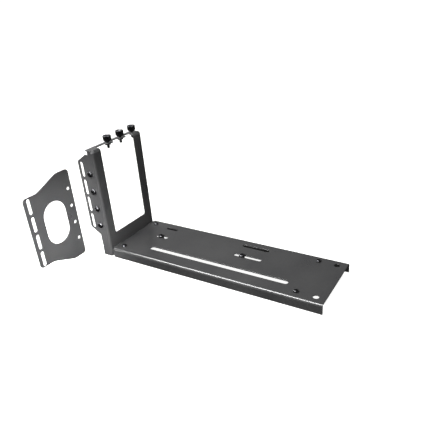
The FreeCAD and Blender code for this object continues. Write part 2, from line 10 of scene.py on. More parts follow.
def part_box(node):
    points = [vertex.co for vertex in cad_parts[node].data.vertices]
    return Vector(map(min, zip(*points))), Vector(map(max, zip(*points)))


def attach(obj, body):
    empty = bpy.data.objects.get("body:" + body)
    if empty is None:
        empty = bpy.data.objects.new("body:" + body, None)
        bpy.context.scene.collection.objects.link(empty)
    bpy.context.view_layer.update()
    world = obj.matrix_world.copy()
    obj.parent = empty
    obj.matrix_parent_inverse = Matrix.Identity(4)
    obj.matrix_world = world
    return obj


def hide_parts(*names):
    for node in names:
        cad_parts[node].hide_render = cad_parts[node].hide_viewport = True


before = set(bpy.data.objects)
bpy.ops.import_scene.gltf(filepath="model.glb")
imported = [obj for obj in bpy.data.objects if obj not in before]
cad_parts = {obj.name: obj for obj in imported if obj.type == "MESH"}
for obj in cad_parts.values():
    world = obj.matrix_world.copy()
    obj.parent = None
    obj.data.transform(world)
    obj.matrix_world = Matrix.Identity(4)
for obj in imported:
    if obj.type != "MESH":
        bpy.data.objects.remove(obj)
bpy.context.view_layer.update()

bl_info = {
    "name": "Graphics card stand",
    "version": (1, 0, 0),
    "blender": (4, 5, 0),
    "location": "3D View > Sidebar > Card Stand",
    "description": "Coats the folded stand, makes its screws, nuts and feet, and sets the stage",
    "category": "Object",
}

MM = 0.001
SHEETS = ("base_plate", "io_frame", "adapter_plate")
FEET = ("rubber_foot_front_left", "rubber_foot_front_right",
        "rubber_foot_rear_left", "rubber_foot_rear_right")
UP = Vector((0, 0, 1))
FORWARD = Vector((0, -1, 0))
OUTWARD = Vector((-1, 0, 0))

# Steps round a turned piece. Both counts put a step on every corner of the shapes they carry:
# 80 on the cross recess (18 and 45 degrees) and the 40 knurl teeth, 72 on a hexagon.
SCREW_STEPS = 80
NUT_STEPS = 72
KNURL_TEETH = 40
CROSS_ARM = math.radians(18)
NUT_CHAMFER = math.radians(30)

# Rings in one turn of a thread, and steps in the curves of a pan head, a foot's rim and the
# frame's corner.
THREAD_RINGS = 8
CROWN_STEPS = 8
RIM_STEPS = 6
BALL_STEPS = 8

# Each screw of a row is turned on by this much, as a driver leaves them.
SPIN = math.radians(37)

# Radii of the shanks, of what takes them, and of the thumbscrews' plain seats.
CASE_THREAD = 1.7 * MM
SMALL_THREAD = 1.45 * MM
NUT_BORE = 1.5 * MM
FOOT_BORE = 1.5 * MM
COLLAR_BORE = 1.75 * MM
THUMB_SEAT = 3.5 * MM

# A drawn collar behind the wing: how far its wall stands off the bore, and how high it is.
COLLAR_WALL = 1.0 * MM
COLLAR_TALL = 1.5 * MM

# A foot's blind bore ends this high, and its upper edge is broken in two steps.
FOOT_BORE_END = 2.3 * MM
FOOT_EDGE = 0.3 * MM
FOOT_EDGE_STEP = 0.08 * MM
# Ring groove in a foot's sole: radius and height of its points, from the outside in.
SOLE_GROOVE = ((3.4 * MM, 0.0), (3.1 * MM, 0.1 * MM), (3.0 * MM, 0.4 * MM),
               (1.6 * MM, 0.4 * MM), (1.5 * MM, 0.1 * MM), (1.2 * MM, 0.0))

# Modifiers on the sheets: points this close are joined, triangles this flat become one face,
# and edges over this angle get the coat's round. Large faces then weigh this much in the shading.
JOIN_WITHIN = 0.01 * MM
FLAT_WITHIN = math.radians(0.5)
ROUND_OVER = math.radians(40)
ROUND_SEGMENTS = 3
FACE_WEIGHT = 80
# Edges over this angle stay sharp in the shading of the pieces made here.
SHARP_OVER = math.radians(32)

# Lights: name, the setting that holds the power, place, point aimed at, width and height, and
# spread in degrees. All lengths are in metres. The rear one stays lower than the top flange.
LIGHTS = (
    ("Strip_light", "strip_power", (-0.15, -0.22, 0.50), (-0.08, 0, 0.02), (0.62, 0.15), 180),
    ("Fill_light", "fill_power", (-0.04, -0.20, 0.11), (-0.155, -0.03, 0.035), (0.10, 0.10), 36),
    ("Back_light", "back_power", (-0.33, 0.80, 0.62), (0.05, 0, 0.01), (0.8, 0.4), 180),
    ("Rear_light", "rear_power", (-0.75, 0.25, 0.06), (-0.10, 0.02, 0.06), (0.6, 0.1), 180),
)

# Walls: sines of the angles above the horizon where they start to fade and where the ceiling
# is reached, and of those below it where it is dark and where the walls begin.
FADE_FROM, FADE_TO = 0.14, 0.44
DARK_UNDER, WALLS_FROM = -0.12, -0.01

FLOOR_RADIUS = 30.0
FLOOR_STEPS = 64

# Camera where the photograph was taken from, worked out from the slots' even spacing: place in
# metres, turn in degrees, lens and sensor in millimetres.
CAMERA_PLACE = (0.25967, -0.34703, 0.27812)
CAMERA_TURN = (61.4046, 3.3205, 29.9380)
CAMERA_LENS = 40.33
CAMERA_SENSOR = 36.0
CAMERA_SHIFT = (-0.0260, 0.0519)
CAMERA_NEAR = 0.01


def linear(code):
    """Linear colour of an sRGB hex code."""
    parts = [int(code[k:k + 2], 16) / 255 for k in (1, 3, 5)]
    return tuple(p / 12.92 if p <= 0.04045 else ((p + 0.055) / 1.055) ** 2.4 for p in parts)


def opaque(colour):
    """The colour with full alpha, as a node's socket takes it."""
    return (*colour, 1.0)


class CoatSettings(PropertyGroup):
    """Finish of the folded sheets."""

    colour: FloatVectorProperty(
        name="Coat colour", description="Colour of the powder coat",
        subtype="COLOR", size=3, min=0, max=1, default=linear("#202021"))
    thin_colour: FloatVectorProperty(
        name="Thin coat colour", description="Colour where the powder lies a little thinner",
        subtype="COLOR", size=3, min=0, max=1, default=linear("#292929"))
    roughness: FloatProperty(
        name="Coat roughness", description="Mean roughness of the satin coat",
        subtype="FACTOR", min=0, max=1, default=0.30)
    weld_roughness: FloatProperty(
        name="Weld roughness",
        description="Mean roughness of the coat over the frame's filed weld",
        subtype="FACTOR", min=0, max=1, default=0.85)
    grain: FloatProperty(
        name="Grain", description="Spacing of the coat's fine texture",
        subtype="DISTANCE", unit="LENGTH", min=0.1 * MM, default=0.8 * MM)
    edge_round: FloatProperty(
        name="Edge round", description="Radius that the coat gives to the cut edges",
        subtype="DISTANCE", unit="LENGTH", min=0, default=0.22 * MM)
    gauge: FloatProperty(
        name="Gauge", description="Thickness of the sheet",
        subtype="DISTANCE", unit="LENGTH", min=0.5 * MM, default=1.2 * MM)
    bend: FloatProperty(
        name="Bend", description="Outer radius of the sheet's bends",
        subtype="DISTANCE", unit="LENGTH", min=MM, default=3.0 * MM)


class ScrewSettings(PropertyGroup):
    """Sizes and finish of the screws and nuts."""

    colour: FloatVectorProperty(
        name="Steel colour", description="Colour of the blackened steel",
        subtype="COLOR", size=3, min=0, max=1, default=linear("#343436"))
    worn_colour: FloatVectorProperty(
        name="Worn steel colour", description="Colour where the black layer is thinner",
        subtype="COLOR", size=3, min=0, max=1, default=linear("#464648"))
    thumb_head: FloatProperty(
        name="Thumbscrew head", description="Height of the knurled head with its seat",
        subtype="DISTANCE", unit="LENGTH", min=MM, default=6.4 * MM)
    thumb_seat: FloatProperty(
        name="Thumbscrew seat", description="Height of the plain seat under the knurled head",
        subtype="DISTANCE", unit="LENGTH", min=0.1 * MM, default=0.8 * MM)
    case_head: FloatProperty(
        name="Case screw head", description="Height of the pan heads on the wing",
        subtype="DISTANCE", unit="LENGTH", min=MM, default=2.4 * MM)
    riser_head: FloatProperty(
        name="Riser screw head", description="Height of the pan heads in the base's slots",
        subtype="DISTANCE", unit="LENGTH", min=MM, default=2.4 * MM)
    small_head: FloatProperty(
        name="Small screw head",
        description="Height of the pan heads over the feet and on the frame",
        subtype="DISTANCE", unit="LENGTH", min=MM, default=2.1 * MM)
    thumb_width: FloatProperty(
        name="Thumbscrew width", description="Diameter over the knurl",
        subtype="DISTANCE", unit="LENGTH", min=MM, default=9.14 * MM)
    case_width: FloatProperty(
        name="Case screw width", description="Diameter of the pan heads on the wing",
        subtype="DISTANCE", unit="LENGTH", min=MM, default=6.6 * MM)
    riser_width: FloatProperty(
        name="Riser screw width", description="Diameter of the pan heads in the base's slots",
        subtype="DISTANCE", unit="LENGTH", min=MM, default=7.2 * MM)
    small_width: FloatProperty(
        name="Small screw width",
        description="Diameter of the pan heads over the feet and on the frame",
        subtype="DISTANCE", unit="LENGTH", min=MM, default=5.6 * MM)
    nut_width: FloatProperty(
        name="Nut width", description="Width of the nuts across their flats",
        subtype="DISTANCE", unit="LENGTH", min=MM, default=5.5 * MM)
    case_pitch: FloatProperty(
        name="Case thread pitch",
        description="Pitch of the coarse case thread, 32 turns to the inch",
        subtype="DISTANCE", unit="LENGTH", min=0.2 * MM, default=0.794 * MM)
    small_pitch: FloatProperty(
        name="Small thread pitch", description="Pitch of the 3 mm thread",
        subtype="DISTANCE", unit="LENGTH", min=0.2 * MM, default=0.5 * MM)


class FootSettings(PropertyGroup):
    """Shape and finish of the feet."""

    colour: FloatVectorProperty(
        name="Rubber colour", description="Colour of the moulded rubber",
        subtype="COLOR", size=3, min=0, max=1, default=linear("#1b1b1b"))
    bloom_colour: FloatVectorProperty(
        name="Bloom colour", description="Colour of the faint bloom on the rubber",
        subtype="COLOR", size=3, min=0, max=1, default=linear("#2a2a29"))
    rim_round: FloatProperty(
        name="Rim round", description="Radius of the foot's lower rim",
        subtype="DISTANCE", unit="LENGTH", min=0.1 * MM, default=1.0 * MM)
    draft: FloatProperty(
        name="Draft", description="How much narrower the foot's radius is at the floor",
        subtype="DISTANCE", unit="LENGTH", min=0, default=0.3 * MM)


class StageSettings(PropertyGroup):
    """Floor and light."""

    floor_colour: FloatVectorProperty(
        name="Floor colour", description="Colour of the floor's sheet under other light",
        subtype="COLOR", size=3, min=0, max=1, default=linear("#90908f"))
    glow_colour: FloatVectorProperty(
        name="Glow colour", description="Colour of the light that comes up through the floor",
        subtype="COLOR", size=3, min=0, max=1, default=linear("#fefefd"))
    walls: FloatProperty(
        name="Walls", description="Strength of the light from the white walls all round",
        min=0, default=1.0)
    ceiling: FloatProperty(
        name="Ceiling", description="Strength of the light from the ceiling",
        min=0, default=0.06)
    floor_glow: FloatProperty(
        name="Floor glow", description="Strength of the light that comes up through the floor",
        min=0, default=1.0)
    strip_power: FloatProperty(
        name="Strip light",
        description="Power of the long light over the front left, which lines the bends",
        subtype="POWER", unit="POWER", min=0, default=16.0)
    fill_power: FloatProperty(
        name="Fill light",
        description="Power of the low gridded light on the wing and the loose plate",
        subtype="POWER", unit="POWER", min=0, default=0.42)
    back_power: FloatProperty(
        name="Back light",
        description="Power of the wide soft light behind, which shines on the base",
        subtype="POWER", unit="POWER", min=0, default=0.28)
    rear_power: FloatProperty(
        name="Rear light", description="Power of the long low light on the frame's back",
        subtype="POWER", unit="POWER", min=0, default=4.0)


def add_node(tree, kind, inputs=None, **settings):
    """A shader node with its settings; an input is a value or another node's output."""
    made = tree.nodes.new(kind)
    for name, value in settings.items():
        setattr(made, name, value)
    for key, value in (inputs or {}).items():
        if isinstance(value, NodeSocket):
            tree.links.new(value, made.inputs[key])
        else:
            made.inputs[key].default_value = value
    return made


def new_material(name):
    """A named material whose node tree is empty, and that tree."""
    material = bpy.data.materials.new(name)
    material.use_nodes = True
    material.node_tree.nodes.clear()
    return material, material.node_tree


# Sockets of a colour Mix node, which shares its names with the float and vector ones.
MIX_A, MIX_B, MIX_RESULT = 6, 7, 2


def powder_coat(settings, name, roughness):
    """Sprayed and baked polyester powder: an even satin black without depth, faintly pebbled, with
    slow drifts of tone where the powder settled thicker or thinner."""
    material, tree = new_material(name)
    peel_width = 3.5 * MM
    drift_width = 38 * MM
    relief = 0.03 * MM
    shine_drift = 0.03
    place = add_node(tree, "ShaderNodeTexCoord").outputs["Object"]
    # The real grain is about 0.2 mm. It is drawn four times as coarse, so that it can show.
    grain = add_node(tree, "ShaderNodeTexNoise", {
        "Vector": place, "Scale": 1 / settings.grain, "Detail": 2.0, "Roughness": 0.55})
    peel = add_node(tree, "ShaderNodeTexNoise", {
        "Vector": place, "Scale": 1 / peel_width, "Detail": 1.0, "Roughness": 0.4})
    drift = add_node(tree, "ShaderNodeTexNoise", {
        "Vector": place, "Scale": 1 / drift_width, "Detail": 3.0, "Roughness": 0.5})
    speck = add_node(tree, "ShaderNodeMath", {
        0: grain.outputs["Fac"], 1: drift.outputs["Fac"]}, operation="MULTIPLY")
    tone = add_node(tree, "ShaderNodeMapRange", {
        "Value": speck.outputs[0], "From Min": 0.12, "From Max": 0.40})
    colour = add_node(tree, "ShaderNodeMix", {
        "Factor": tone.outputs[0], MIX_A: opaque(settings.colour),
        MIX_B: opaque(settings.thin_colour)}, data_type="RGBA")
    gloss = add_node(tree, "ShaderNodeMapRange", {
        "Value": drift.outputs["Fac"], "From Min": 0.3, "From Max": 0.7,
        "To Min": roughness - shine_drift, "To Max": roughness + shine_drift})
    waves = add_node(tree, "ShaderNodeBump", {
        "Height": peel.outputs["Fac"], "Strength": 0.25, "Distance": relief})
    pebble = add_node(tree, "ShaderNodeBump", {
        "Height": grain.outputs["Fac"], "Strength": 0.35, "Distance": relief,
        "Normal": waves.outputs[0]})
    shader = add_node(tree, "ShaderNodeBsdfPrincipled", {
        "Base Color": colour.outputs[MIX_RESULT], "Roughness": gloss.outputs[0],
        "IOR": 1.50, "Normal": pebble.outputs[0]})
    add_node(tree, "ShaderNodeOutputMaterial", {"Surface": shader.outputs[0]})
    return material


def powder_coated_steel(settings):
    """Rolled sheet steel under the coat: smooth, so that the coat keeps its satin shine."""
    return powder_coat(settings, "Powder_coated_steel", settings.roughness)


def powder_coated_weld(settings):
    """A weld filed by hand under the coat: its fine scratches leave the coat duller."""
    return powder_coat(settings, "Powder_coated_weld", settings.weld_roughness)


def blackened_steel(settings):
    """Turned steel with a hot black-oxide layer: a dark, slightly oily metal shine, mottled at
    about a millimetre and a little lighter where the layer is thin."""
    material, tree = new_material("Black_oxide_steel")
    mottle_width = 1.1 * MM
    # Turning marks are a few hundredths of a millimetre apart, too fine to show: 0.25 mm here.
    mark_width = 0.25 * MM
    mark_depth = 0.01 * MM
    place = add_node(tree, "ShaderNodeTexCoord").outputs["Object"]
    mottle = add_node(tree, "ShaderNodeTexNoise", {
        "Vector": place, "Scale": 1 / mottle_width, "Detail": 3.0, "Roughness": 0.6})
    thin = add_node(tree, "ShaderNodeMapRange", {
        "Value": mottle.outputs["Fac"], "From Min": 0.4, "From Max": 0.75})
    colour = add_node(tree, "ShaderNodeMix", {
        "Factor": thin.outputs[0], MIX_A: opaque(settings.colour),
        MIX_B: opaque(settings.worn_colour)}, data_type="RGBA")
    gloss = add_node(tree, "ShaderNodeMapRange", {
        "Value": mottle.outputs["Fac"], "From Min": 0.3, "From Max": 0.7,
        "To Min": 0.24, "To Max": 0.38})
    marks = add_node(tree, "ShaderNodeTexNoise", {
        "Vector": place, "Scale": 1 / mark_width, "Detail": 1.0})
    tooled = add_node(tree, "ShaderNodeBump", {
        "Height": marks.outputs["Fac"], "Strength": 0.2, "Distance": mark_depth})
    shader = add_node(tree, "ShaderNodeBsdfPrincipled", {
        "Base Color": colour.outputs[MIX_RESULT], "Metallic": 1.0,
        "Roughness": gloss.outputs[0], "Normal": tooled.outputs[0]})
    add_node(tree, "ShaderNodeOutputMaterial", {"Surface": shader.outputs[0]})
    return material


def moulded_rubber(settings):
    """Compression-moulded nitrile rubber: a dull near-black that takes the mould's fine matt
    texture and carries a faint greyish bloom in patches."""
    material, tree = new_material("Moulded_rubber")
    bloom_width = 4 * MM
    matt_width = 0.4 * MM
    matt_depth = 0.03 * MM
    place = add_node(tree, "ShaderNodeTexCoord").outputs["Object"]
    bloom = add_node(tree, "ShaderNodeTexNoise", {
        "Vector": place, "Scale": 1 / bloom_width, "Detail": 4.0, "Roughness": 0.6})
    patch = add_node(tree, "ShaderNodeMapRange", {
        "Value": bloom.outputs["Fac"], "From Min": 0.42, "From Max": 0.7})
    colour = add_node(tree, "ShaderNodeMix", {
        "Factor": patch.outputs[0], MIX_A: opaque(settings.colour),
        MIX_B: opaque(settings.bloom_colour)}, data_type="RGBA")
    gloss = add_node(tree, "ShaderNodeMapRange", {
        "Value": bloom.outputs["Fac"], "From Min": 0.3, "From Max": 0.7,
        "To Min": 0.68, "To Max": 0.84})
    matt = add_node(tree, "ShaderNodeTexNoise", {
        "Vector": place, "Scale": 1 / matt_width, "Detail": 2.0})
    skin = add_node(tree, "ShaderNodeBump", {
        "Height": matt.outputs["Fac"], "Strength": 0.4, "Distance": matt_depth})
    shader = add_node(tree, "ShaderNodeBsdfPrincipled", {
        "Base Color": colour.outputs[MIX_RESULT], "Roughness": gloss.outputs[0],
        "IOR": 1.52, "Normal": skin.outputs[0]})
    add_node(tree, "ShaderNodeOutputMaterial", {"Surface": shader.outputs[0]})
    return material


def opal_floor(settings):
    """Opal acrylic sheet of a studio's light table, lit from below: an even white with no shine
    and hardly a shadow."""
    material, tree = new_material("Opal_acrylic_sheet")
    shader = add_node(tree, "ShaderNodeBsdfPrincipled", {
        "Base Color": opaque(settings.floor_colour), "Roughness": 0.9, "IOR": 1.3,
        "Emission Color": opaque(settings.glow_colour), "Emission Strength": settings.floor_glow})
    add_node(tree, "ShaderNodeOutputMaterial", {"Surface": shader.outputs[0]})
    return material


def finish_of(maker, name, settings):
    """The named material, made the first time it is asked for."""
    return bpy.data.materials.get(name) or maker(settings)


def around(radius, height, steps=SCREW_STEPS):
    """Ring of points about Z; radius and height are numbers or functions of the angle."""
    ring = []
    for step in range(steps):
        angle = 2 * math.pi * step / steps
        reach = radius(angle) if callable(radius) else radius
        level = height(angle) if callable(height) else height
        ring.append((reach * math.cos(angle), reach * math.sin(angle), level))
    return ring


def turn(shape, rings, place, hollow=False):
    """Adds a turned solid to a bmesh. A hollow one joins its last ring to its first."""
    loops = [[shape.verts.new(place @ Vector(point)) for point in ring] for ring in rings]
    pairs = list(zip(loops, loops[1:]))
    if hollow:
        pairs.append((loops[-1], loops[0]))
    for lower, upper in pairs:
        for this in range(len(lower)):
            following = (this + 1) % len(lower)
            shape.faces.new((lower[this], lower[following], upper[following], upper[this]))
    if not hollow:
        shape.faces.new(reversed(loops[0]))
        shape.faces.new(loops[-1])


def quarter(radius, height, wide, tall, steps):
    """Quarter of an ellipse about (radius, height), from its side, as far out as wide, to its
    top, as far up as tall."""
    angles = [math.pi / 2 * step / steps for step in range(steps + 1)]
    return [(radius + wide * math.cos(angle), height + tall * math.sin(angle)) for angle in angles]


def cross(reach):
    """Outline of a cross recess, whose arms open by CROSS_ARM either side of their middle."""
    half = reach * math.tan(CROSS_ARM)
    least = 1e-6

    def radius(angle):
        across, along = sorted((abs(math.cos(angle)), abs(math.sin(angle))))
        return min(reach / along, half / max(across, least))

    return radius


def recess(reach, depth, top):
    """Rings of a cross recess with a broken edge, tapered walls and a pointed floor."""
    lip = 0.05 * MM
    floor = top - depth
    floor_reach = reach * 0.72
    point_radius = reach * 0.12
    point_depth = reach * 0.3
    return [around(cross(reach + lip), top), around(cross(reach), top - lip),
            around(cross(floor_reach), floor), around(point_radius, floor - point_depth)]


def threaded(radius, pitch, length):
    """Rings of a threaded shank, from its chamfered tip up to the seat at height 0."""
    # Shares of a pitch: the groove's depth, the flat crest, and the two flanks together.
    depth = 0.55 * pitch
    crest = 0.15
    flanks = 0.7
    count = round(length / pitch * THREAD_RINGS)
    rings = []
    for index in range(count + 1):
        height = -length * (1 - index / count)
        tip = radius - depth * max(0.0, 1 - (height + length) / pitch)
        run_out = min(1.0, -height / pitch)

        def flank(angle, height=height, tip=tip, run_out=run_out):
            turns = (height / pitch - angle / (2 * math.pi)) % 1
            groove = min(max((abs(2 * turns - 1) - crest) / flanks, 0.0), 1.0)
            return min(tip, radius - depth * run_out * groove)

        rings.append(around(flank, height))
    return rings


def pan_head(radius, height):
    """Rings of a pan head with a rounded crown and a cross recess, from its rim up."""
    rim = 0.15 * MM
    rim_step = 0.3 * rim
    wall = 0.38 * height
    crown = 0.46 * radius
    cross_reach = 0.40 * radius
    cross_depth = 0.62 * height
    profile = [(radius - rim, 0.0), (radius - rim_step, rim_step), (radius, rim)]
    profile += quarter(crown, wall, radius - crown, height - wall, CROWN_STEPS)
    rings = [around(reach, level) for reach, level in profile]
    return rings + recess(cross_reach, cross_depth, height)


def knurled_head(radius, top, seat_radius, seat):
    """Rings of a knurled head over its plain seat, with a dished top and a cross recess."""
    bevel = 0.45 * MM
    groove = 0.34 * MM
    seat_edge = 0.1 * MM
    top_edge = 0.04 * MM
    plain = radius - groove
    under_rim = plain - bevel * 0.4
    upper_rim = plain - bevel * 0.2
    top_rim = plain - bevel * 0.5
    dish = top - 0.35 * MM
    dish_rim = 0.66 * radius
    dish_floor = 0.60 * radius
    cross_reach = 0.44 * radius
    cross_depth = 1.5 * MM

    def teeth(angle):
        share = angle / (2 * math.pi) * KNURL_TEETH % 1
        return radius - groove * (1 - abs(2 * share - 1))

    rings = [around(seat_radius - seat_edge, 0.0), around(seat_radius, seat_edge),
             around(seat_radius, seat), around(under_rim, seat),
             around(teeth, seat + bevel), around(teeth, top - bevel),
             around(upper_rim, top - top_edge), around(top_rim, top),
             around(dish_rim, top), around(dish_floor, dish)]
    return rings + recess(cross_reach, cross_depth, dish)


def eighth_shell(shape, middle, outer, inner, steps=BALL_STEPS):
    """Adds an eighth of a hollow ball to a bmesh, the one towards +X, -Y and +Z."""
    spots = [(i, j) for i in range(steps + 1) for j in range(steps + 1 - i)]
    skins = []
    for radius in (outer, inner):
        skin = {}
        for i, j in spots:
            towards = Vector((i, -j, steps - i - j)).normalized()
            skin[i, j] = shape.verts.new(middle + radius * towards)
        skins.append(skin)
        for i, j in spots:
            if i + j < steps:
                shape.faces.new((skin[i, j], skin[i + 1, j], skin[i, j + 1]))
            if i + j < steps - 1:
                shape.faces.new((skin[i + 1, j], skin[i + 1, j + 1], skin[i, j + 1]))
    rim = [(i, 0) for i in range(steps)] + [(steps - j, j) for j in range(steps)]
    rim += [(0, steps - k) for k in range(steps)]
    for here, there in zip(rim, rim[1:] + rim[:1]):
        shape.faces.new((skins[0][here], skins[0][there], skins[1][there], skins[1][here]))


def facing_turn(facing):
    """Matrix that turns +Z towards the given direction."""
    return UP.rotation_difference(facing).to_matrix().to_4x4()


def own_axis(facing):
    """Number of the axis that a direction runs along."""
    return max(range(3), key=lambda axis: abs(facing[axis]))


def set_row(rings, places, facing, spin=0.0, hollow=False):
    """A bmesh with a turned solid at each place, each one turned on by spin from the last."""
    shape = bmesh.new()
    for index, spot in enumerate(places):
        place = Matrix.Translation(spot) @ facing_turn(facing)
        turn(shape, rings, place @ Matrix.Rotation(index * spin, 4, "Z"), hollow)
    return shape


def seats(node, facing, head, radius, rows):
    """Where the screws of a node sit and how long their shanks are, read from its box.
    rows gives how many screws stand along each axis; along the screws' own axis it is 1."""
    low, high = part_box(node)
    own = own_axis(facing)
    others = [axis for axis in range(3) if axis != own]
    towards = facing[own] > 0
    level = high[own] - head if towards else low[own] + head
    length = level - low[own] if towards else high[own] - level
    places = []
    for first in range(rows[others[0]]):
        for second in range(rows[others[1]]):
            spot = Vector((0, 0, 0))
            spot[own] = level
            for axis, index in zip(others, (first, second)):
                ends = low[axis] + radius, high[axis] - radius
                share = index / (rows[axis] - 1) if rows[axis] > 1 else 0.5
                spot[axis] = ends[0] + (ends[1] - ends[0]) * share
            places.append(spot)
    return places, length


def new_piece(name, shape, material, slot, *nodes):
    """Object made from a bmesh, riding on the stand and standing for its CAD nodes."""
    bmesh.ops.recalc_face_normals(shape, faces=shape.faces)
    mesh = bpy.data.meshes.new(name)
    shape.to_mesh(mesh)
    shape.free()
    mesh.polygons.foreach_set("use_smooth", [True] * len(mesh.polygons))
    mesh.set_sharp_from_angle(angle=SHARP_OVER)
    mesh.materials.append(material)
    piece = bpy.data.objects.new(name, mesh)
    bpy.context.scene.collection.objects.link(piece)
    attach(piece, "root")
    if nodes:
        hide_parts(*nodes)


def pan_screws(name, node, facing, head, width, rows, thread_radius, pitch, settings):
    """One piece with all the pan-head screws of a node."""
    radius = width / 2
    places, length = seats(node, facing, head, radius, rows)
    rings = threaded(thread_radius, pitch, length) + pan_head(radius, head)
    shape = set_row(rings, places, facing, SPIN)
    steel = finish_of(blackened_steel, "Black_oxide_steel", settings)
    new_piece(name, shape, steel, "black_screw_steel", node)


def hex_nuts(name, node, facing, rows, row_half, settings):
    """One piece with the hexagon nuts of a node, both faces chamfered to a circle.
    row_half is half a nut's size along the row that they stand in."""
    low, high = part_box(node)
    own = own_axis(facing)
    height = high[own] - low[own]
    flat = settings.nut_width / 2
    places, _ = seats(node, facing, height, row_half, rows)
    slope = math.tan(NUT_CHAMFER)
    disc = 0.94 * flat
    bore = NUT_BORE
    sink = 0.25 * MM

    def corner(angle):
        return flat / math.cos(angle % (math.pi / 3) - math.pi / 6)

    def drop(angle):
        return (corner(angle) - disc) * slope

    rings = [around(bore + sink, 0.0, NUT_STEPS), around(disc, 0.0, NUT_STEPS),
             around(corner, drop, NUT_STEPS),
             around(corner, lambda angle: height - drop(angle), NUT_STEPS),
             around(disc, height, NUT_STEPS), around(bore + sink, height, NUT_STEPS),
             around(bore, height - sink, NUT_STEPS), around(bore, sink, NUT_STEPS)]
    shape = set_row(rings, places, facing, hollow=True)
    steel = finish_of(blackened_steel, "Black_oxide_steel", settings)
    new_piece(name, shape, steel, "black_screw_steel", node)


class STAND_OT_sheets(Operator):
    """Powder-coats the three folded sheets and rounds their cut edges"""

    bl_idname = "stand.sheets"
    bl_label = "Coat the Sheets"

    def execute(self, context):
        settings = context.scene.stand_coat
        coat = finish_of(powder_coated_steel, "Powder_coated_steel", settings)
        for name in SHEETS:
            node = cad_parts[name]
            node.data.materials[0] = coat
            weld = node.modifiers.new("Join_faces", "WELD")
            weld.merge_threshold = JOIN_WITHIN
            flat = node.modifiers.new("Flat_faces", "DECIMATE")
            flat.decimate_type = "DISSOLVE"
            flat.angle_limit = FLAT_WITHIN
            edge = node.modifiers.new("Coated_edges", "BEVEL")
            edge.width = settings.edge_round
            edge.segments = ROUND_SEGMENTS
            edge.limit_method = "ANGLE"
            edge.angle_limit = ROUND_OVER
            edge.use_clamp_overlap = False
            even = node.modifiers.new("Even_shading", "WEIGHTED_NORMAL")
            even.weight = FACE_WEIGHT
        return {"FINISHED"}


class STAND_OT_wing_collars(Operator):
    """Makes the drawn and tapped collars behind the wing's screws"""

    bl_idname = "stand.wing_collars"
    bl_label = "Wing Collars"

    def execute(self, context):
        settings = context.scene.stand_coat
        screws = context.scene.stand_screws
        places, _ = seats("adapter_screws", FORWARD, screws.case_head, screws.case_width / 2,
                          (1, 1, 4))
        bore = COLLAR_BORE
        wall = bore + COLLAR_WALL
        tall = COLLAR_TALL
        flare = 0.5 * MM
        flare_step = 0.15 * MM
        flare_tall = 0.4 * MM
        edge = 0.3 * MM
        sink = 0.25 * MM
        profile = [(bore, 0.0), (wall + flare, 0.0), (wall + flare_step, flare_step),
                   (wall, flare_tall), (wall, tall - edge), (wall - edge, tall),
                   (bore + sink, tall), (bore, tall - sink)]
        rings = [around(reach, -settings.gauge - level) for reach, level in profile]
        shape = set_row(rings, places, FORWARD, hollow=True)
        coat = finish_of(powder_coated_steel, "Powder_coated_steel", settings)
        new_piece("wing_collars", shape, coat, "black_sheet_steel")
        return {"FINISHED"}


class STAND_OT_frame_corner(Operator):
    """Closes the corner where the frame's upright bend meets the bend of its top flange"""

    bl_idname = "stand.frame_corner"
    bl_label = "Frame Corner"

    def execute(self, context):
        settings = context.scene.stand_coat
        low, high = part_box("io_frame")
        bend = settings.bend
        middle = Vector((high.x - bend, low.y + bend, high.z - bend))
        shape = bmesh.new()
        eighth_shell(shape, middle, bend, bend - settings.gauge)
        coat = finish_of(powder_coated_weld, "Powder_coated_weld", settings)
        new_piece("frame_corner", shape, coat, "black_sheet_steel")
        return {"FINISHED"}


class STAND_OT_thumb_screws(Operator):
    """Makes the knurled thumbscrews on the top flange"""

    bl_idname = "stand.thumb_screws"
    bl_label = "Thumbscrews"

    def execute(self, context):
        settings = context.scene.stand_screws
        radius = settings.thumb_width / 2
        places, length = seats("thumb_screws", UP, settings.thumb_head, radius, (1, 3, 1))
        rings = threaded(CASE_THREAD, settings.case_pitch, length)
        rings += knurled_head(radius, settings.thumb_head, THUMB_SEAT, settings.thumb_seat)
        shape = set_row(rings, places, UP, SPIN)
        steel = finish_of(blackened_steel, "Black_oxide_steel", settings)
        new_piece("thumb_screws_knurled", shape, steel, "black_screw_steel", "thumb_screws")
        return {"FINISHED"}


class STAND_OT_case_screws(Operator):
    """Makes the four pan-head screws on the wing"""

    bl_idname = "stand.case_screws"
    bl_label = "Wing Screws"

    def execute(self, context):
        settings = context.scene.stand_screws
        pan_screws("adapter_screws_pan_head", "adapter_screws", FORWARD, settings.case_head,
                   settings.case_width, (1, 1, 4), CASE_THREAD, settings.case_pitch, settings)
        return {"FINISHED"}


class STAND_OT_base_screws(Operator):
    """Makes the pan-head screws on the base, in its slots and over its feet"""

    bl_idname = "stand.base_screws"
    bl_label = "Base Screws"

    def execute(self, context):
        settings = context.scene.stand_screws
        pan_screws("riser_screws_pan_head", "riser_screws", UP, settings.riser_head,
                   settings.riser_width, (2, 1, 1), SMALL_THREAD, settings.small_pitch, settings)
        pan_screws("foot_screws_pan_head", "foot_screws", UP, settings.small_head,
                   settings.small_width, (2, 2, 1), SMALL_THREAD, settings.small_pitch, settings)
        return {"FINISHED"}


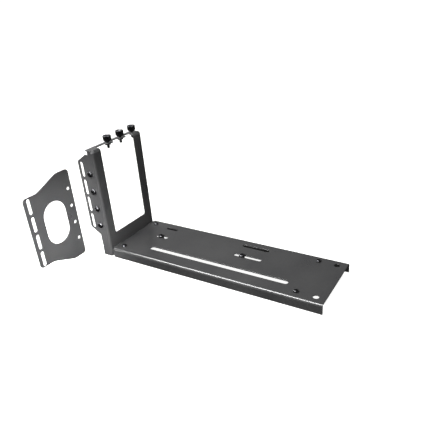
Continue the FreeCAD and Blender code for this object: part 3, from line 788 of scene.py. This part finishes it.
class STAND_OT_frame_fixings(Operator):
    """Makes the screws that join the frame to the base, and all the nuts"""

    bl_idname = "stand.frame_fixings"
    bl_label = "Frame Screws and Nuts"

    def execute(self, context):
        settings = context.scene.stand_screws
        pan_screws("frame_screws_pan_head", "frame_screws", OUTWARD, settings.small_head,
                   settings.small_width, (1, 2, 1), SMALL_THREAD, settings.small_pitch, settings)
        flat = settings.nut_width / 2
        hex_nuts("frame_nuts_chamfered", "frame_nuts", -OUTWARD, (1, 2, 1), flat, settings)
        corner = flat / math.cos(math.pi / 6)
        hex_nuts("riser_nuts_chamfered", "riser_nuts", UP, (2, 1, 1), corner, settings)
        return {"FINISHED"}


class STAND_OT_feet(Operator):
    """Makes the four moulded rubber feet"""

    bl_idname = "stand.feet"
    bl_label = "Feet"

    def execute(self, context):
        settings = context.scene.stand_feet
        rubber = finish_of(moulded_rubber, "Moulded_rubber", settings)
        curve = settings.rim_round
        for name in FEET:
            low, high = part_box(name)
            radius = (high.x - low.x) / 2
            height = high.z - low.z
            profile = [(FOOT_BORE, FOOT_BORE_END), (FOOT_BORE, height),
                       (radius - FOOT_EDGE, height),
                       (radius - FOOT_EDGE_STEP, height - FOOT_EDGE_STEP),
                       (radius, height - FOOT_EDGE)]
            sole = radius - settings.draft
            rim = quarter(sole - curve, 0.0, curve, curve, RIM_STEPS)
            profile += [(reach, curve - level) for reach, level in rim]
            profile += SOLE_GROOVE
            rings = [around(reach, level) for reach, level in profile]
            middle = Vector(((low.x + high.x) / 2, (low.y + high.y) / 2, low.z))
            shape = set_row(rings, [middle], UP)
            new_piece(name + "_moulded", shape, rubber, "black_rubber", name)
        return {"FINISHED"}


class STAND_OT_stage(Operator):
    """Sets the floor, the soft lights and the camera"""

    bl_idname = "stand.stage"
    bl_label = "Stage"

    def execute(self, context):
        scene = context.scene
        settings = scene.stand_stage
        scene.view_settings.view_transform = "Standard"
        self.floor(scene, settings)
        self.sky(scene, settings)
        for name, setting, *aim in LIGHTS:
            self.soft_light(scene, name, getattr(settings, setting), *aim)
        self.camera(scene)
        return {"FINISHED"}

    def floor(self, scene, settings):
        """Large plain board under the feet."""
        shape = bmesh.new()
        bmesh.ops.create_circle(shape, cap_ends=True, segments=FLOOR_STEPS, radius=FLOOR_RADIUS)
        mesh = bpy.data.meshes.new("Floor")
        shape.to_mesh(mesh)
        shape.free()
        mesh.materials.append(finish_of(opal_floor, "Opal_acrylic_sheet", settings))
        board = bpy.data.objects.new("Floor", mesh)
        # A picture cut out on white shows no floor mirrored in the object.
        board.visible_glossy = False
        scene.collection.objects.link(board)

    def sky(self, scene, settings):
        """White studio walls all round, which fade to a dim ceiling, with nothing below the floor.
        The camera sees plain white behind the object, as in a picture cut out on white."""
        world = bpy.data.worlds.new("White_walls")
        world.use_nodes = True
        tree = world.node_tree
        tree.nodes.clear()
        place = add_node(tree, "ShaderNodeTexCoord")
        part = add_node(tree, "ShaderNodeSeparateXYZ", {0: place.outputs["Generated"]})
        fade = add_node(tree, "ShaderNodeMapRange", {
            "Value": part.outputs["Z"], "From Min": FADE_FROM, "From Max": FADE_TO,
            "To Min": settings.walls, "To Max": settings.ceiling}, interpolation_type="SMOOTHSTEP")
        above = add_node(tree, "ShaderNodeMapRange", {
            "Value": part.outputs["Z"], "From Min": DARK_UNDER, "From Max": WALLS_FROM},
            interpolation_type="SMOOTHSTEP")
        strength = add_node(tree, "ShaderNodeMath", {
            0: fade.outputs[0], 1: above.outputs[0]}, operation="MULTIPLY")
        seen = add_node(tree, "ShaderNodeLightPath")
        backdrop = add_node(tree, "ShaderNodeMath", {
            0: strength.outputs[0], 1: seen.outputs["Is Camera Ray"]}, operation="MAXIMUM")
        glow = add_node(tree, "ShaderNodeBackground", {
            "Color": opaque(linear("#ffffff")), "Strength": backdrop.outputs[0]})
        add_node(tree, "ShaderNodeOutputWorld", {"Surface": glow.outputs[0]})
        scene.world = world

    def soft_light(self, scene, name, power, place, target, size, spread):
        """Rectangular softbox, its upper and lower sides level, aimed at a point.
        A spread under 180 degrees stands for a honeycomb grid in front of it."""
        lamp = bpy.data.lights.new(name, "AREA")
        lamp.shape = "RECTANGLE"
        lamp.size, lamp.size_y = size
        lamp.energy = power
        lamp.spread = math.radians(spread)
        light = bpy.data.objects.new(name, lamp)
        light.location = place
        aim = Vector(target) - light.location
        light.rotation_euler = aim.to_track_quat("-Z", "Y").to_euler()
        scene.collection.objects.link(light)

    def camera(self, scene):
        """Camera at the photograph's viewing angle."""
        lens = bpy.data.cameras.new("Camera")
        lens.lens = CAMERA_LENS
        lens.sensor_width = CAMERA_SENSOR
        lens.shift_x, lens.shift_y = CAMERA_SHIFT
        lens.clip_start = CAMERA_NEAR
        camera = bpy.data.objects.new("Camera", lens)
        camera.location = CAMERA_PLACE
        camera.rotation_euler = [math.radians(angle) for angle in CAMERA_TURN]
        scene.collection.objects.link(camera)
        scene.camera = camera


OPERATORS = (STAND_OT_sheets, STAND_OT_wing_collars, STAND_OT_frame_corner, STAND_OT_thumb_screws,
             STAND_OT_case_screws, STAND_OT_base_screws, STAND_OT_frame_fixings, STAND_OT_feet,
             STAND_OT_stage)
SETTINGS = {"stand_coat": CoatSettings, "stand_screws": ScrewSettings,
            "stand_feet": FootSettings, "stand_stage": StageSettings}


class STAND_PT_panel(Panel):
    """The stand's pieces and settings in the sidebar"""

    bl_label = "Card Stand"
    bl_idname = "STAND_PT_panel"
    bl_space_type = "VIEW_3D"
    bl_region_type = "UI"
    bl_category = "Card Stand"

    def draw(self, context):
        for operator in OPERATORS:
            self.layout.operator(operator.bl_idname)
        for name, group in SETTINGS.items():
            box = self.layout.box()
            for prop in group.__annotations__:
                box.prop(getattr(context.scene, name), prop)


def register():
    for group in SETTINGS.values():
        bpy.utils.register_class(group)
    for name, group in SETTINGS.items():
        setattr(bpy.types.Scene, name, PointerProperty(type=group))
    for operator in OPERATORS:
        bpy.utils.register_class(operator)
    bpy.utils.register_class(STAND_PT_panel)


def unregister():
    bpy.utils.unregister_class(STAND_PT_panel)
    for operator in reversed(OPERATORS):
        bpy.utils.unregister_class(operator)
    for name, group in reversed(SETTINGS.items()):
        delattr(bpy.types.Scene, name)
        bpy.utils.unregister_class(group)


def main():
    register()
    bpy.ops.stand.sheets()
    bpy.ops.stand.wing_collars()
    bpy.ops.stand.frame_corner()
    bpy.ops.stand.thumb_screws()
    bpy.ops.stand.case_screws()
    bpy.ops.stand.base_screws()
    bpy.ops.stand.frame_fixings()
    bpy.ops.stand.feet()
    bpy.ops.stand.stage()


if __name__ == "__main__":
    main()
